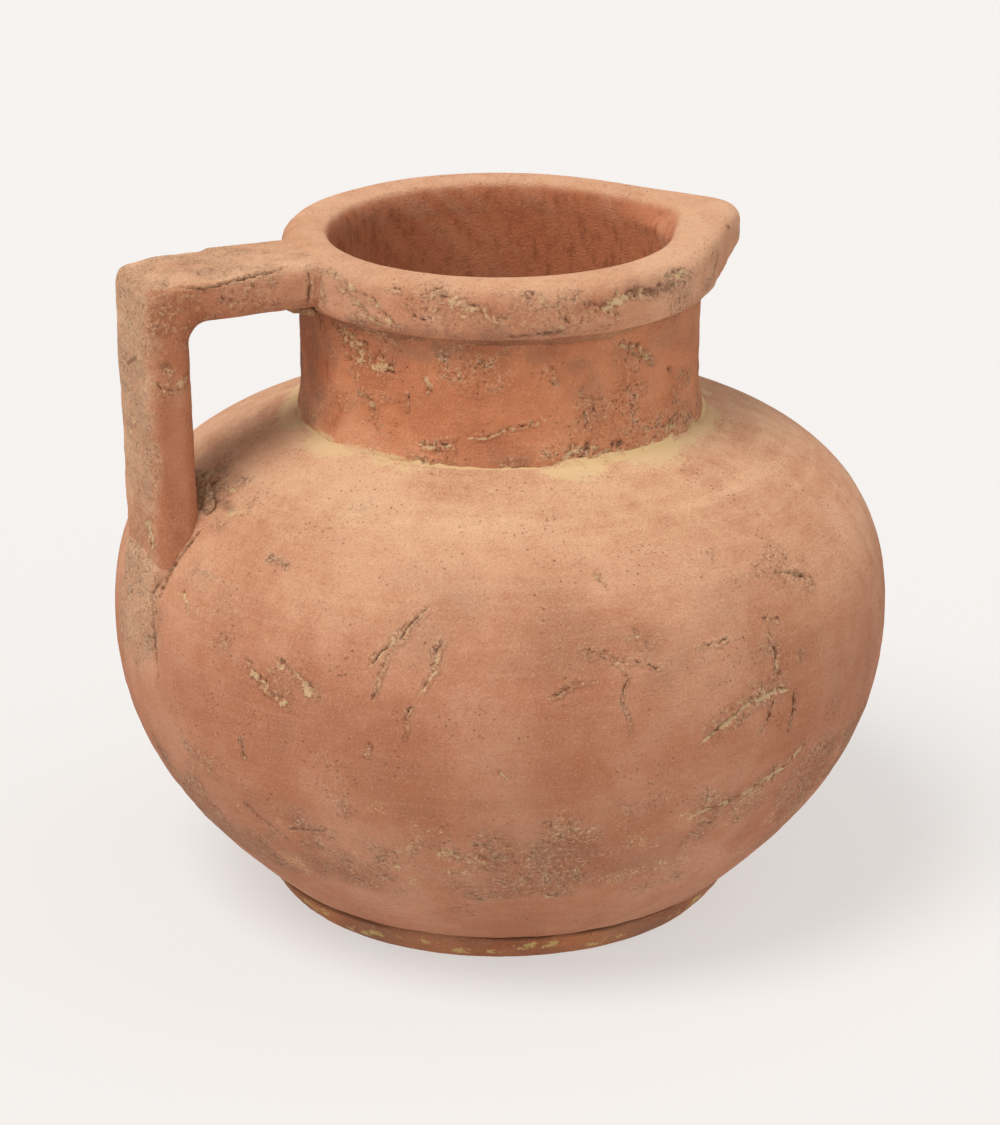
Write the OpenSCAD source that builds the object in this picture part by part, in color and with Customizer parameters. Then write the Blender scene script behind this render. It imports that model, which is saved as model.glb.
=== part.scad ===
// Ceramic pitcher, hand built in coarse red earthenware.
// A round belly stands on a low flared foot ring. A straight neck stands on the shoulder and
// carries a thick rolled rim, which is pinched out into a pouring beak. An angular strap handle,
// an arm and a post mitred together, runs from the rim to the shoulder. Beads and wads of
// pale slip clay are pressed into the joints.
// The origin is the centre of the foot on the table, the beak points along +X and the handle
// along -X.

/* [Belly] */
// Outside diameter of the belly at its widest
belly_d = 300; // [270:1:330]
// Height of the widest point of the belly
belly_z = 115; // [100:1:130]
// Height of the shoulder, where the neck stands on it
shoulder_z = 194; // [185:1:205]
// Thickness of the belly wall
belly_wall = 11; // [8:0.5:14]
// Thickness of the floor
floor_t = 12; // [9:0.5:16]

/* [Foot] */
// Outside diameter of the foot ring on the table
foot_d = 168; // [150:1:190]
// How far the foot ring flares out on each side from the table up to the belly
foot_flare = 8; // [4:0.5:12]
// Height of the foot ring's outside
foot_h = 12; // [9:0.5:18]
// Width of the foot ring's flat sole
sole_w = 12; // [8:0.5:18]
// Depth of the hollow under the floor
foot_recess = 5; // [3:0.5:7]

/* [Neck] */
// Outside diameter of the neck
neck_d = 152; // [130:1:170]
// Thickness of the neck wall
neck_wall = 12; // [8:0.5:15]
// How far the neck flares out on each side at its foot
neck_flare = 3; // [1:0.5:6]

/* [Rim] */
// Height of the whole pitcher, to the top of the rim
rim_top = 265; // [250:1:285]
// Height of the rim band
rim_h = 22; // [16:1:28]
// How far the rim stands out from the neck
rim_overhang = 7; // [4:0.5:10]
// How deep the neck's top edge is let into the rim, measured down from the rim's top
seat_drop = 9; // [6:0.5:12]
// How far the beak reaches out past the round rim
beak_reach = 16; // [8:1:22]
// Radius of the beak's nose, seen from above
beak_nose_r = 16; // [10:1:22]
// How far the pouring channel cuts out into the beak
channel_reach = 8; // [4:1:12]

/* [Handle] */
// Width of the strap
strap_w = 42; // [32:1:50]
// Thickness of the strap
strap_t = 18.5; // [14:0.5:22]
// Radius of the strap's four long edges
strap_edge_r = 6; // [3:0.5:7]
// How far the arm's top lies below the rim's top
arm_drop = 1; // [0.5:0.5:4]
// How far the post's outer face stands inside the belly's widest point
post_inset = 2.5; // [0:0.5:10]
// Lean of the post's foot towards the neck, in degrees
post_lean = 1.2; // [0:0.1:4]
// Radius of the handle's outer corner
corner_r = 10; // [6:1:14]

/* [Slip] */
// Height that the bead of slip climbs up the neck
neck_slip_h = 5; // [3:0.5:8]
// Width of the bead of slip tucked under the rim
rim_slip_w = 3; // [2:0.5:3.5]
// Thickness of the slip smeared round the foot
foot_slip_t = 1.2; // [0.8:0.1:2]
// Radius of the wad pressed into the handle's inner corner
corner_wad_r = 8; // [4:1:12]
// Reach of the wad under the arm, out from the rim and down below it
arm_wad_reach = 5; // [3:0.5:8]
// Height that the wad behind the post climbs up it
post_wad_h = 9; // [5:1:14]

/* [Hidden] */

fn_round = 96;       // turned surfaces
curve_steps = 24;    // steps along each long curve of the belly
bend_steps = 10;     // steps along each short curve
rim_steps = 96;      // slices round the rim
rim_bend_steps = 7;  // steps along each bend of the rim's section

red_clay = "#b97c5d";
pale_slip = "#d8b27e";

belly_r = belly_d / 2;
foot_r = foot_d / 2;
foot_top_r = foot_r + foot_flare;
foot_edge_r = foot_top_r - foot_flare - 4;   // where the belly's underside turns flat
neck_r = neck_d / 2;
neck_in_r = neck_r - neck_wall;
neck_base_r = neck_r + neck_flare;
mouth_edge_t = belly_wall * 0.55;            // thickness of the belly's edge inside the neck
rim_r = neck_r + rim_overhang;
rim_bottom = rim_top - rim_h;
seat_z = rim_top - seat_drop;
arm_top = rim_top - arm_drop;
strap_mid_z = arm_top - strap_t / 2;
post_out_x = belly_r - post_inset;           // distance of the post's outer face from the axis
post_mid_x = post_out_x - strap_t / 2;
mitre_a = 45 + post_lean / 2;                // turn of the mitre between the arm and the post
strap_span = belly_r + rim_top;              // longer than any bar that is cut to length by it
post_run = strap_mid_z - belly_z;            // length of the post's bar below the mitre
wad_w = strap_w - 2 * strap_edge_r;          // width of the wads, the strap's flat
slack = 1;                                   // how far a cutting shape runs past what it cuts

// ---- Curves: points are [radius, height] ----

function cubic(p, t) = pow(1 - t, 3) * p[0] + 3 * pow(1 - t, 2) * t * p[1]
    + 3 * (1 - t) * t * t * p[2] + pow(t, 3) * p[3];
function heading(p, t) = pow(1 - t, 2) * (p[1] - p[0]) + 2 * (1 - t) * t * (p[2] - p[1])
    + t * t * (p[3] - p[2]);
// A point of the curve moved d to the left of its heading, which is inwards on a rising wall
function beside(p, t, d) = let(s = heading(p, t)) cubic(p, t) + d * [-s[1], s[0]] / norm(s);
function curve(p, n, first = 0, last = 1) =
    [for (i = [0 : n]) cubic(p, first + (last - first) * i / n)];
function arc(centre, r, a0, a1, n) =
    [for (i = [0 : n]) let(a = a0 + (a1 - a0) * i / n) centre + r * [cos(a), sin(a)]];

belly_low = [[foot_top_r, foot_h],
             [foot_top_r + 0.42 * (belly_r - foot_top_r), foot_h + 0.21 * (belly_z - foot_h)],
             [belly_r, belly_z - 0.5 * (belly_z - foot_h)],
             [belly_r, belly_z]];
belly_high = [[belly_r, belly_z],
              [belly_r, belly_z + 0.71 * (shoulder_z - belly_z)],
              [neck_base_r + 0.48 * (belly_r - neck_base_r),
               shoulder_z - 0.18 * (shoulder_z - belly_z)],
              [neck_base_r, shoulder_z]];
foot_side = [[foot_r, 0],
             [foot_r + 0.38 * foot_flare, 0.25 * foot_h],
             [foot_top_r - 0.06 * foot_flare, 0.67 * foot_h],
             [foot_top_r, foot_h]];
// Height of the belly's upper half at a distance r from the axis
function shoulder_height(r) =
    max([for (i = [0 : 100]) let(p = cubic(belly_high, i / 100)) if (p[0] >= r) p[1]]);
post_foot_z = shoulder_height(post_out_x - strap_t);   // where the post's inner face lands
// Distance of the post's inner face from the axis at that height
inner_r = post_out_x - strap_t - (strap_mid_z - post_foot_z) * tan(post_lean);
neck_base = [[neck_base_r, shoulder_z],
             [neck_r + 0.4 * neck_flare, shoulder_z + 4],
             [neck_r, shoulder_z + 8],
             [neck_r, shoulder_z + 14]];

// ---- Belly ----

module belly_outside() {
    rotate_extrude($fn = fn_round)
        polygon(concat([[0, foot_recess], [foot_edge_r, foot_recess]],
                       curve(belly_low, curve_steps), curve(belly_high, curve_steps),
                       [[0, shoulder_z]]));
}

module body() {
    floor_top = foot_recess + floor_t;
    wall_foot = beside(belly_low, 0, belly_wall);
    low_inside = [for (i = [curve_steps : -1 : 0]) beside(belly_low, i / curve_steps, belly_wall)];
    high_inside = [for (i = [curve_steps : -1 : 0]) beside(belly_high, i / curve_steps, belly_wall)];
    color(red_clay)
    rotate_extrude($fn = fn_round)
        polygon(concat([[0, foot_recess], [foot_edge_r, foot_recess]],
                       curve(belly_low, curve_steps), curve(belly_high, curve_steps),
                       [[neck_in_r, shoulder_z], [neck_in_r, shoulder_z - mouth_edge_t]],
                       high_inside, low_inside,
                       [[wall_foot[0] - 7, min(floor_top, wall_foot[1])], [0, floor_top]]));
}

// ---- Foot ring ----

module foot_ring() {
    color(red_clay)
    rotate_extrude($fn = fn_round)
        polygon(concat([[foot_r - sole_w, 0]], curve(foot_side, bend_steps),
                       [[foot_edge_r, foot_recess], [foot_r - sole_w, foot_recess]]));
}

// ---- Neck ----

module neck_outside() {
    rotate_extrude($fn = fn_round)
        polygon(concat([[0, shoulder_z]], curve(neck_base, bend_steps),
                       [[neck_r, seat_z], [0, seat_z]]));
}

module neck() {
    color(red_clay)
    difference() {
        neck_outside();
        translate([0, 0, shoulder_z - slack])
            cylinder(r = neck_in_r, h = seat_z - shoulder_z + 2 * slack, $fn = fn_round);
    }
}

// ---- Rim ----

// Outline of a circle of radius r that is drawn out to a nose at angle 0: the distance from the
// axis at angle a. Two straight sides run from the circle to the nose.
function beaked(a, r, reach, nose_r) =
    let(nose_x = r + reach - nose_r,
        side_a = acos((r - nose_r) / nose_x),
        nose_a = atan2(nose_r * sin(side_a), nose_x + nose_r * cos(side_a)),
        b = abs(a > 180 ? a - 360 : a))
    b <= nose_a ? nose_x * cos(b) + sqrt(pow(nose_r, 2) - pow(nose_x * sin(b), 2))
    : b < side_a ? r / cos(b - side_a) : r;

// The rim's section, from inside the seat, up over the lip and down its outer face. Each point
// is [radius, height, share of the channel's reach, share of the beak's reach].
function blend_z(z, low, high) = max(0, min(1, (z - low) / (high - low)));
rim_section = let(
    lip = curve([[neck_in_r, seat_z + 1], [neck_in_r, rim_top - 2.5],
                 [neck_in_r + 3, rim_top], [neck_in_r + 8, rim_top]], rim_bend_steps),
    shoulder = curve([[rim_r - 7, rim_top], [rim_r - 2, rim_top],
                      [rim_r, rim_top - 3], [rim_r, rim_top - 8]], rim_bend_steps),
    heel = curve([[rim_r, rim_bottom + 6], [rim_r, rim_bottom + 2],
                  [rim_r - 1.5, rim_bottom], [rim_r - 4, rim_bottom]], rim_bend_steps))
    concat([[neck_in_r, seat_z - 2 * slack, 0, 0]],
           [for (p = lip) [p[0], p[1], blend_z(p[1], seat_z, rim_top), 0]],
           [for (p = shoulder) [p[0], p[1], 0, 1]],
           [for (p = heel) [p[0], p[1], 0, 0.45]],
           [[neck_r - slack, rim_bottom, 0, 0], [neck_r - slack, seat_z - 2 * slack, 0, 0]]);

module rim_blank() {
    sides = len(rim_section);
    points = [for (k = [0 : rim_steps - 1]) let(
                  a = 360 * k / rim_steps,
                  beak = beaked(a, rim_r, beak_reach, beak_nose_r) - rim_r,
                  channel = beaked(a, neck_in_r, channel_reach, beak_nose_r) - neck_in_r)
              for (s = rim_section) let(r = s[0] + s[2] * channel + s[3] * beak)
                  [r * cos(a), r * sin(a), s[1]]];
    faces = [for (k = [0 : rim_steps - 1], j = [0 : sides - 1])
                let(k2 = (k + 1) % rim_steps, j2 = (j + 1) % sides)
                [k * sides + j, k2 * sides + j, k2 * sides + j2, k * sides + j2]];
    polyhedron(points, faces, convexity = 6);
}

module rim() {
    color(red_clay)
    difference() {
        rim_blank();
        translate([0, 0, rim_bottom - slack])
            cylinder(r = neck_r, h = seat_z - rim_bottom + slack, $fn = fn_round);
    }
}

// The round part of the rim as a solid disc, which the handle's arm is cut to
module rim_outside() {
    round_part = [for (s = rim_section) if (s[0] >= rim_r - 7) [s[0], s[1]]];
    rotate_extrude($fn = fn_round)
        polygon(concat([[0, rim_top]], round_part, [[0, rim_bottom]]));
}

// ---- Handle ----

// The strap's section: strap_t along X and strap_w along Y, with round edges
function strap_section() = let(x = strap_t / 2 - strap_edge_r, y = strap_w / 2 - strap_edge_r)
    [for (q = [[x, y, 0], [-x, y, 90], [-x, -y, 180], [x, -y, 270]])
        for (p = arc([q[0], q[1]], strap_edge_r, q[2], q[2] + 90, bend_steps)) p];

module strap_bar(length) {
    linear_extrude(height = length) polygon(strap_section());
}

// The post's bar runs on past the mitre above and into the belly below
module post_bar() {
    translate([-post_mid_x, 0, strap_mid_z])
        rotate([0, -post_lean, 0])
            translate([0, 0, -post_run])
                strap_bar(post_run + strap_t);
}

// A block with one face on the mitre and the rest on the arm's side (1) or the post's side (-1)
module mitre_half(side) {
    translate([-post_mid_x, 0, strap_mid_z])
        rotate([0, -mitre_a, 0])
            translate([side * strap_span / 2, 0, 0])
                cube([strap_span, strap_w + 2 * slack, 2 * strap_span], center = true);
}

// Everything inside the handle's rounded outer corner
module corner_round() {
    corner_x = -post_out_x + corner_r / cos(post_lean) + (strap_t / 2 - corner_r) * tan(post_lean);
    rotate([90, 0, 0])
        linear_extrude(height = strap_w + 2 * slack, center = true)
            polygon(concat([[0, arm_top + slack], [corner_x, arm_top + slack]],
                           arc([corner_x, arm_top - corner_r], corner_r, 90, 180, bend_steps),
                           [[-post_out_x - strap_t, arm_top - corner_r],
                            [-post_out_x - strap_t, 0], [0, 0]]));
}

module handle_arm() {
    color(red_clay)
    difference() {
        intersection() {
            translate([-post_out_x - slack, 0, strap_mid_z])
                rotate([0, 90, 0])
                    strap_bar(post_out_x - neck_in_r);
            mitre_half(1);
            corner_round();
        }
        rim_outside();
        neck_outside();
        rim_slip_outside();
    }
}

module handle_post() {
    color(red_clay)
    difference() {
        intersection() {
            post_bar();
            mitre_half(-1);
            corner_round();
        }
        belly_outside();
    }
}

// ---- Slip and wads in the joints ----

// The bead's inner faces run along the same points as the shoulder and the neck
module neck_slip() {
    shoulder_steps = 2;
    along_shoulder = [for (i = [curve_steps - shoulder_steps : curve_steps])
                          cubic(belly_high, i / curve_steps)];
    up_neck = [for (i = [1 : bend_steps]) let(p = cubic(neck_base, i / bend_steps))
                  if (p[1] <= shoulder_z + neck_slip_h) p];
    top = up_neck[len(up_neck) - 1];
    start = along_shoulder[0];
    hollow = cubic(belly_high, 1) + [1.6, 1.2];
    color(pale_slip)
    rotate_extrude($fn = fn_round)
        polygon(concat(along_shoulder, up_neck,
                       curve([top, top + [0.6, -2], hollow, start], bend_steps, 0.1, 0.9)));
}

// The bead's outer curve, from the neck up to the rim's flat underside
rim_slip_curve = curve([[neck_r, rim_bottom - rim_slip_w - 1],
                        [neck_r + rim_slip_w * 0.2, rim_bottom - rim_slip_w * 0.6],
                        [neck_r + rim_slip_w * 0.5, rim_bottom - 0.5],
                        [neck_r + rim_slip_w, rim_bottom]], bend_steps);

module rim_slip_outside() {
    rotate_extrude($fn = fn_round)
        polygon(concat([[0, rim_bottom], [0, rim_slip_curve[0][1]]], rim_slip_curve));
}

module rim_slip() {
    color(pale_slip)
    rotate_extrude($fn = fn_round)
        polygon(concat([[neck_r, rim_bottom]], rim_slip_curve));
}

module foot_slip() {
    first = 4;
    inner = [for (i = [first : bend_steps]) cubic(foot_side, i / bend_steps)];
    outer = [for (i = [bend_steps - 1 : -1 : first + 1])
                beside(foot_side, i / bend_steps,
                       -foot_slip_t * sin(180 * (i - first) / (bend_steps - first)))];
    color(pale_slip)
    rotate_extrude($fn = fn_round)
        polygon(concat(inner, outer));
}

module arm_wad() {
    arm_bottom = arm_top - strap_t;
    wad_bottom = min(rim_bottom, arm_bottom) - arm_wad_reach;
    outer_x = -rim_r - arm_wad_reach;
    color(pale_slip)
    difference() {
        rotate([90, 0, 0])
            linear_extrude(height = wad_w, center = true)
                polygon(concat([[-neck_in_r, arm_bottom]],
                               curve([[outer_x, arm_bottom],
                                      [outer_x + arm_wad_reach * 0.7, arm_bottom - 2],
                                      [-neck_r - rim_overhang * 0.4, wad_bottom + arm_wad_reach],
                                      [-neck_r - 1, wad_bottom]], bend_steps),
                               [[-neck_in_r, wad_bottom]]));
        rim_outside();
        neck_outside();
        rim_slip_outside();
    }
}

module corner_wad() {
    inner_z = arm_top - strap_t;
    inner_x = -post_mid_x + (strap_t / 2) / cos(post_lean) + (strap_t / 2) * tan(post_lean);
    mid = [inner_x + corner_wad_r, inner_z - corner_wad_r];
    color(pale_slip)
    difference() {
        rotate([90, 0, 0])
            linear_extrude(height = wad_w, center = true)
                polygon(concat([[inner_x - strap_edge_r, inner_z], [mid[0], inner_z]],
                               arc(mid, corner_wad_r, 90, 180, bend_steps),
                               [[inner_x - strap_edge_r, mid[1]]]));
        post_bar();
    }
}

// The wad is turned about the pitcher's axis, so its underside lies on the shoulder
module post_wad() {
    top_z = post_foot_z + post_wad_h;
    half_a = asin((wad_w / 2 - slack) / inner_r);
    on_shoulder = [for (i = [0 : curve_steps]) let(p = cubic(belly_high, i / curve_steps))
                       if (p[0] <= inner_r + strap_edge_r + 2 && p[0] >= inner_r - post_wad_h) p];
    end = on_shoulder[len(on_shoulder) - 1];
    color(pale_slip)
    difference() {
        rotate([0, 0, 180 - half_a])
            rotate_extrude(angle = 2 * half_a, $fn = 5 * fn_round)
                polygon(concat(on_shoulder,
                               curve([end, end + [1.5, 0.5],
                                      [inner_r, post_foot_z + post_wad_h * 0.5],
                                      [inner_r, top_z]], bend_steps, 0.05, 1),
                               [[inner_r + 3, top_z]]));
        post_bar();
    }
}

body();
foot_ring();
neck();
rim();
handle_arm();
handle_post();
neck_slip();
rim_slip();
foot_slip();
arm_wad();
corner_wad();
post_wad();
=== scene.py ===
# A terracotta pitcher, hand built from coarse red clay, fired without a glaze and left to weather:
# a round belly on a low foot ring, a straight neck, a thick rim pinched into a beak, and a square
# strap handle. Lengths are in millimetres, and the points of a mesh in metres.
import math

import bmesh
import bpy
import numpy as np
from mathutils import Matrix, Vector


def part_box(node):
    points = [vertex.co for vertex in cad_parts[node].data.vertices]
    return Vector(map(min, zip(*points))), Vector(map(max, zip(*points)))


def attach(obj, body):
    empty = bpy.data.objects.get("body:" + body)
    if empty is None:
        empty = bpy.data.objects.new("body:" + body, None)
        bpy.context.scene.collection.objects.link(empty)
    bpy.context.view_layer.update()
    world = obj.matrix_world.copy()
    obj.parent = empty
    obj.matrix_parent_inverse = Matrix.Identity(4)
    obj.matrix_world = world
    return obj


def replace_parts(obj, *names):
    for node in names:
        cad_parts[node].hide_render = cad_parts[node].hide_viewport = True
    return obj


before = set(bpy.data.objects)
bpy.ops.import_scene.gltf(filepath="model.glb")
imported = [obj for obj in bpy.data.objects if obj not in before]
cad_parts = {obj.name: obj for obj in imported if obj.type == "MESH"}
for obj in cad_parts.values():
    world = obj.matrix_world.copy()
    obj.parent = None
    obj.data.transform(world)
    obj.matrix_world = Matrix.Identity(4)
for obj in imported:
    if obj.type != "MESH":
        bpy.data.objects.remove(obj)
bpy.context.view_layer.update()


# ---- Belly -----------------------------------
# The belly is a thick-walled pot of coarse red clay, turned slowly and scraped smooth while damp,
# so faint wheel marks run round it. It has dried with cracks, and ochre slip fills many of them.

def corners(node):
    """The lowest and highest corners of a part of the frame, in millimetres."""
    low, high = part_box(node)
    return np.array(low) * 1000, np.array(high) * 1000


def curve(a, b, c, d, steps=60):
    """Points along a cubic curve drawn through radius and height."""
    t = np.linspace(0, 1, steps + 1)[:, None]
    a, b, c, d = (np.array(p, float) for p in (a, b, c, d))
    return (1 - t) ** 3 * a + 3 * (1 - t) ** 2 * t * b + 3 * (1 - t) * t * t * c + t ** 3 * d


def even(points, gap):
    """The same line with its points a fixed gap apart."""
    points = np.asarray(points, float)
    run = np.concatenate([[0], np.cumsum(np.linalg.norm(np.diff(points, axis=0), axis=1))])
    marks = np.linspace(0, run[-1], max(1, round(run[-1] / gap)) + 1)
    return np.column_stack([np.interp(marks, run, column) for column in points.T])


def turn(outline, steps):
    """Turns a closed outline of radius and height round the pitcher's axis into a solid skin: first
    one wedge of it, and then copies of the wedge all the way round."""
    wedges = 20
    spin = {"cent": (0, 0, 0), "axis": (0, 0, 1)}
    bm = bmesh.new()
    verts = [bm.verts.new((r / 1000, 0, z / 1000)) for r, z in outline]
    edges = [bm.edges.new(pair) for pair in zip(verts, verts[1:])]
    if outline[0][0] > 0.001:
        edges.append(bm.edges.new((verts[-1], verts[0])))
    bmesh.ops.spin(bm, geom=verts + edges, angle=2 * math.pi / wedges, steps=steps // wedges, **spin)
    bmesh.ops.spin(bm, geom=bm.verts[:] + bm.edges[:] + bm.faces[:], use_duplicate=True,
                   angle=2 * math.pi * (1 - 1 / wedges), steps=wedges - 1, **spin)
    bmesh.ops.remove_doubles(bm, verts=bm.verts, dist=0.00002)
    bmesh.ops.recalc_face_normals(bm, faces=bm.faces)
    return bm


lattice = np.random.default_rng(5).uniform(-1, 1, (64, 64, 64))


def swell(at, size, seed, octaves=1):
    """Smooth noise at each point, from about -1 to 1, whose swellings are size millimetres wide."""
    total = np.zeros(len(at))
    for k in range(octaves):
        p = np.asarray(at) * 2 ** k / size + 7.3 * seed + 3.1 * k
        cell = np.floor(p).astype(int)
        x, y, z = smooth(p - cell).T
        for corner in range(8):
            i, j, h = corner & 1, corner >> 1 & 1, corner >> 2
            share = (x if i else 1 - x) * (y if j else 1 - y) * (z if h else 1 - z)
            total += share * lattice[tuple(((cell + (i, j, h)) % 64).T)] / 2 ** k
    return total


def smooth(x):
    """Eases from 0 to 1 while x goes from 0 to 1."""
    x = np.clip(x, 0, 1)
    return x * x * (3 - 2 * x)


class Wall:
    """A face turned round the axis. A place on it is a pair: degrees round from the beak by way
    of the front, and a height."""

    def __init__(self, outline):
        self.outline = outline[np.argsort(outline[:, 1])]

    def place(self, degrees, height):
        radius = np.interp(height, self.outline[:, 1], self.outline[:, 0])
        a = np.radians(degrees)
        return np.column_stack([radius * np.cos(a), -radius * np.sin(a), height])

    def draw(self, path, wander=0.8, seed=1):
        """A ragged line on the face through the places of a path."""
        path = np.array(path, float)
        middle = np.interp(path[:, 1].mean(), self.outline[:, 1], self.outline[:, 0])
        unrolled = even(np.column_stack([np.radians(path[:, 0]) * middle, path[:, 1]]), 0.5)
        line = self.place(np.degrees(unrolled[:, 0] / middle), unrolled[:, 1])
        line += wander * np.column_stack([swell(line, 4.0, seed + k, 3) for k in range(3)])
        return self.place(np.degrees(np.arctan2(-line[:, 1], line[:, 0])), line[:, 2])


MARKS = ("dark", "slip", "stain", "worn", "dust", "wash")


class Skin:
    """The skin of one clay piece while it is worked: its points, how deep each is pressed in, and
    the marks left on it, which colour it later."""

    def __init__(self, bm):
        bm.normal_update()
        self.bm = bm
        self.at = np.array([v.co for v in bm.verts]) * 1000
        self.out = np.array([v.normal for v in bm.verts])
        self.sunk = np.zeros(len(self.at))
        self.marks = {mark: np.zeros(len(self.at)) for mark in MARKS}
        # Faces turned up start with dust, partly a painted highlight on the tops.
        self.tint("dust", 0.6 * smooth((self.out[:, 2] + 0.15) / 0.95))

    def tint(self, mark, amount, ids=slice(None)):
        """Raises a mark to an amount, at some of the points or at all of them."""
        self.marks[mark][ids] = np.maximum(self.marks[mark][ids], amount)

    def reach(self, line, limit):
        """The points within a limit of a line: which they are, how far off, on which side in
        height, and how far along the line."""
        near = (self.at > line.min(0) - limit) & (self.at < line.max(0) + limit)
        ids = np.flatnonzero(near.all(1))
        at = self.at[ids]
        gap = np.full(len(ids), 1e9)
        side = np.zeros(len(ids))
        along = np.zeros(len(ids))
        for k, (a, b) in enumerate(zip(line, line[1:])):
            t = np.clip((at - a) @ (b - a) / ((b - a) @ (b - a) + 1e-9), 0, 1)
            off = at - a - t[:, None] * (b - a)
            far = np.linalg.norm(off, axis=1)
            nearer = far < gap
            gap[nearer] = far[nearer]
            side[nearer] = off[nearer, 2]
            along[nearer] = (k + t[nearer]) / (len(line) - 1)
        hit = gap < limit
        return ids[hit], gap[hit], side[hit], along[hit]

    def press(self, line):
        """The same line, each point moved to the nearest point of the skin."""
        return np.array([self.at[np.argmin(((self.at - p) ** 2).sum(1))] for p in line])

    def crack(self, line, width, depth, lip=0.0, slip=0.8, seed=1, broken=1.3):
        """A split in the clay, more or less broken along its way. With a lip, its lower side has
        broken away into a pale ledge."""
        ids, gap, side, along = self.reach(line, 3 * width + 2 * lip)
        at = self.at[ids]
        tail = smooth(6 * np.minimum(along, 1 - along))
        beat = np.clip(0.70 + broken * swell(at, 3.0, seed, 3), 0.0, 1.3) * tail
        split = np.exp(-(gap / width) ** 2) * beat
        self.sunk[ids] += 0.8 * depth * split
        # Painted shade darkens the split, on top of the real shade of its sunk groove.
        self.tint("dark", np.clip(0.8 * split, 0, 1), ids)
        if lip:
            spread = lip * np.clip(0.6 + 1.3 * swell(at, 2.0, seed + 3, 3), 0.08, 1.8) * tail + 0.01
            ledge = smooth(1.3 - gap / spread) * (side < 0.1)
            self.sunk[ids] += 0.45 * depth * ledge
            self.tint("slip", slip * ledge * np.clip(1.1 - 0.8 * split, 0, 1), ids)
            self.tint("worn", 0.9 * smooth(1.6 - 0.5 * gap / lip) * tail, ids)

    def gouge(self, line, width, depth, slip=0.6, seed=1):
        """A patch torn out of the clay, with a ragged edge and a rough, sandy floor."""
        ids, gap, side, _ = self.reach(line, 2.2 * width)
        at = self.at[ids]
        edge = width * np.clip(0.75 + 1.1 * swell(at, 3.4, seed, 3), 0.05, 2.0)
        inside = smooth(2.4 * (1 - gap / edge))
        rough = 0.6 + 0.7 * swell(at, 1.7, seed + 2, 2)
        self.sunk[ids] += depth * inside * rough
        self.tint("worn", np.maximum(inside, 0.7 * smooth(1.3 - gap / (1.6 * width))), ids)
        self.tint("slip", slip * inside * np.clip(0.8 - 1.4 * (rough - 0.5), 0, 1), ids)
        # Painted shade darkens the floor under the torn upper edge, and its deepest spots.
        rim = inside * smooth(1.8 * (gap / edge) - 0.4) * (side > 0)
        self.tint("dark", np.clip(0.75 * rim + inside * (rough - 0.8) * 1.2, 0, 1), ids)

    def scar(self, draw, gouges, cracks, wander, seed, broken=1.3):
        """Tears and splits the skin along its lists of gouges and cracks, whose places draw() turns
        into lines. wander says how ragged the lines of each list are."""
        for k, (width, depth, slip, path) in enumerate(gouges):
            self.gouge(draw(path, wander[0], k), width, depth, slip, k + seed)
        for k, (width, depth, ledge, slip, path) in enumerate(cracks):
            self.crack(draw(path, wander[1], k), width, depth, ledge, slip, k + seed, broken)

    def smudge(self, line, width, amount, mark="stain", seed=1):
        """A soft patch of colour along a line."""
        ids, gap, _, _ = self.reach(line, 1.6 * width)
        cloud = np.clip(0.7 + 0.9 * swell(self.at[ids], width * 0.9, seed, 3), 0, 1.4)
        self.tint(mark, np.clip(amount * cloud * smooth(1.4 - gap / width), 0, 1), ids)

    def finish(self, name, material, slot, pull=None):
        """Presses the marks in and makes the piece. pull moves the finished points, in mm."""
        at = self.at - self.out * self.sunk[:, None]
        if pull:
            at = pull(at)
        for v, p in zip(self.bm.verts, at / 1000):
            v.co = p
        piece = stand(name, self.bm, material)
        for mark, amount in self.marks.items():
            values = piece.data.attributes.new(mark, "FLOAT", "POINT").data
            values.foreach_set("value", np.clip(amount, 0, 1))
        piece.data.shade_smooth()
        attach(piece, "root")
        return piece


def stand(name, bm, material):
    """Stands a finished mesh in the scene as an object."""
    mesh = bpy.data.meshes.new(name)
    bm.to_mesh(mesh)
    bm.free()
    mesh.materials.append(material)
    made = bpy.data.objects.new(name, mesh)
    bpy.context.scene.collection.objects.link(made)
    return made


def refine(bm, lines, reach, times):
    """Halves the faces near some lines, once or more, so that narrow marks have points enough."""
    spots = np.vstack(lines) / 1000
    around = np.array([(i, j, k) for i in (-1, 0, 1) for j in (-1, 0, 1) for k in (-1, 0, 1)])
    for go in range(times):
        size = reach / 1000 / (1 + 0.5 * go)
        cells = (np.floor(spots / size)[:, None] + around).reshape(-1, 3) + 500
        close = np.floor(np.array([v.co for v in bm.verts]) / size) + 500
        near = np.isin(close @ (1, 1000, 1000000), np.unique(cells @ (1, 1000, 1000000)))
        bm.verts.index_update()
        edges = [e for e in bm.edges if near[e.verts[0].index] and near[e.verts[1].index]]
        bmesh.ops.subdivide_edges(bm, edges=edges, cuts=1, use_grid_fill=True)


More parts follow.
